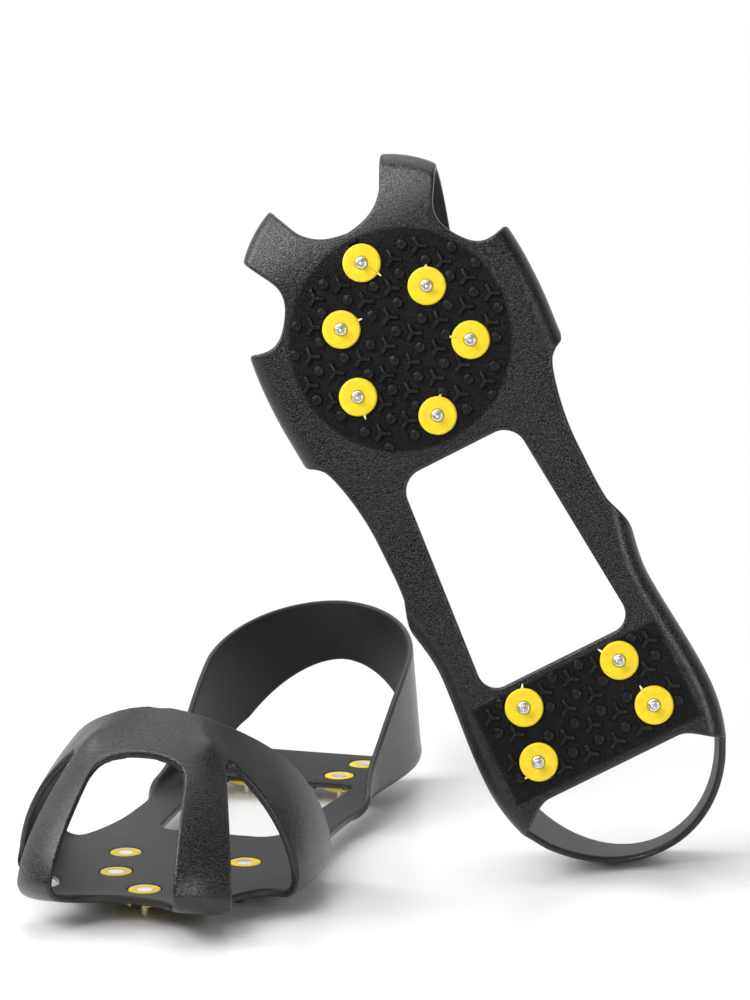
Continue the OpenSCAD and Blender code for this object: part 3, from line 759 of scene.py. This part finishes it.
# Yellow nylon: faint clouds and pores, a seam from the stub on some, and painted shade in a dark ring round
# the pin
yellow_nylon, nodes, surface = new_material("yellow_nylon")
far = nodes.stored("from_axis")
cloud, pores = nodes.noise(420.0, 3.0), nodes.noise(3200.0, 2.0)
seam = (1 - (nodes.stored("bearing") * far).step(0.10, 0.34)) * far.step(2.6, 6.6)
seam = seam * nodes.stored("chance").step(0.35, 0.7) * (1 - far.step(flange_r, 7.4))
body = cloud.step(0.3, 0.7).blend((0.88, 0.64, 0.010, 1), (0.95, 0.71, 0.016, 1))
body = (seam * 0.45).blend(body, (0.42, 0.27, 0.010, 1))
# Painted shade: a dark brown ring on the collar just outside the pin's shoulder, where its contact shadow
# falls
body = ((1 - far.step(2.40, 2.85)) * 0.85).blend(body, (0.16, 0.10, 0.008, 1))
body = far.step(7.32, 7.5).blend(body, (0.96, 0.88, 0.42, 1))
skin = nodes.add("ShaderNodeBump", None, {"Strength": 0.3, "Distance": 0.00005, "Height": pores})
nylon = nodes.add("ShaderNodeBsdfPrincipled", None,
                  {"Base Color": body, "Roughness": 0.36 + cloud * 0.12, "Normal": skin})
nodes.tree.links.new(nylon.socket, surface)

for seed, cleat in enumerate(cleats, collar_seed):
    mesh = grown(tree, {"Form": collar, "Turn": any_turn, "Seed": seed, "Finish": yellow_nylon})
    row = stand_on(cleat, "collars", mesh, *[cleat + "_collar_" + str(i) for i in range(1, 11)])
bpy.data.objects.remove(collar)

# Studs: ten headed steel pins a cleat, turned and zinc plated. The head lies flush in
# the collar's inner flange, a shoulder closes on its outer face, and the chamfered tip
# stands 5 mm proud to bite into ice.
stud_steps, stud_seed = 40, 40
stud = finished("stud", lathe([
    (0, -10.28), (0.55, -10.28), (0.74, -10.4), (0.92, -10.4), (1.28, -10.06), (1.38, -9.94), (1.4, -9.8),
    (1.4, -6.02), (1.62, -6.02), (1.70, -6.3), (1.80, -6.3), (2.16, -6.06), (2.31, -5.84), (2.35, -5.62),
    (2.35, -5.4), (1.5, -5.4),
    (1.5, -0.9), (3.0, -0.9), (3.0, -0.35), (2.9, -0.17), (2.7, -0.1), (0, -0.1)], stud_steps))

# Bright zinc: blotched plating over the marks of turning, darker in the dished tip
bright_zinc, nodes, surface = new_material("bright_zinc")
far, high = nodes.stored("from_axis"), nodes.stored("height")
marks = nodes.math("SINE", far * 42.0 + high * 30.0)
blotch = nodes.noise(900.0, 4.0)
plate = blotch.step(0.35, 0.7).blend((0.70, 0.70, 0.71, 1), (0.86, 0.86, 0.86, 1))
tip = (1 - high.step(-10.34, -10.22)) * (1 - far.step(0.85, 1.0))
worn = nodes.add("ShaderNodeBump", None,
                 {"Strength": 0.16, "Distance": 0.00003, "Height": marks * 0.4 + blotch})
zinc = nodes.add("ShaderNodeBsdfPrincipled", None,
                 {"Base Color": (tip * 0.85).blend(plate, (0.40, 0.41, 0.43, 1)), "Metallic": 1.0,
                  "Roughness": 0.27 + blotch * 0.12, "Normal": worn})
nodes.tree.links.new(zinc.socket, surface)

for seed, cleat in enumerate(cleats, stud_seed):
    mesh = grown(tree, {"Form": stud, "Turn": any_turn, "Seed": seed, "Finish": bright_zinc})
    row = stand_on(cleat, "studs", mesh, *[cleat + "_stud_" + str(i) for i in range(1, 11)])
bpy.data.objects.remove(stud)
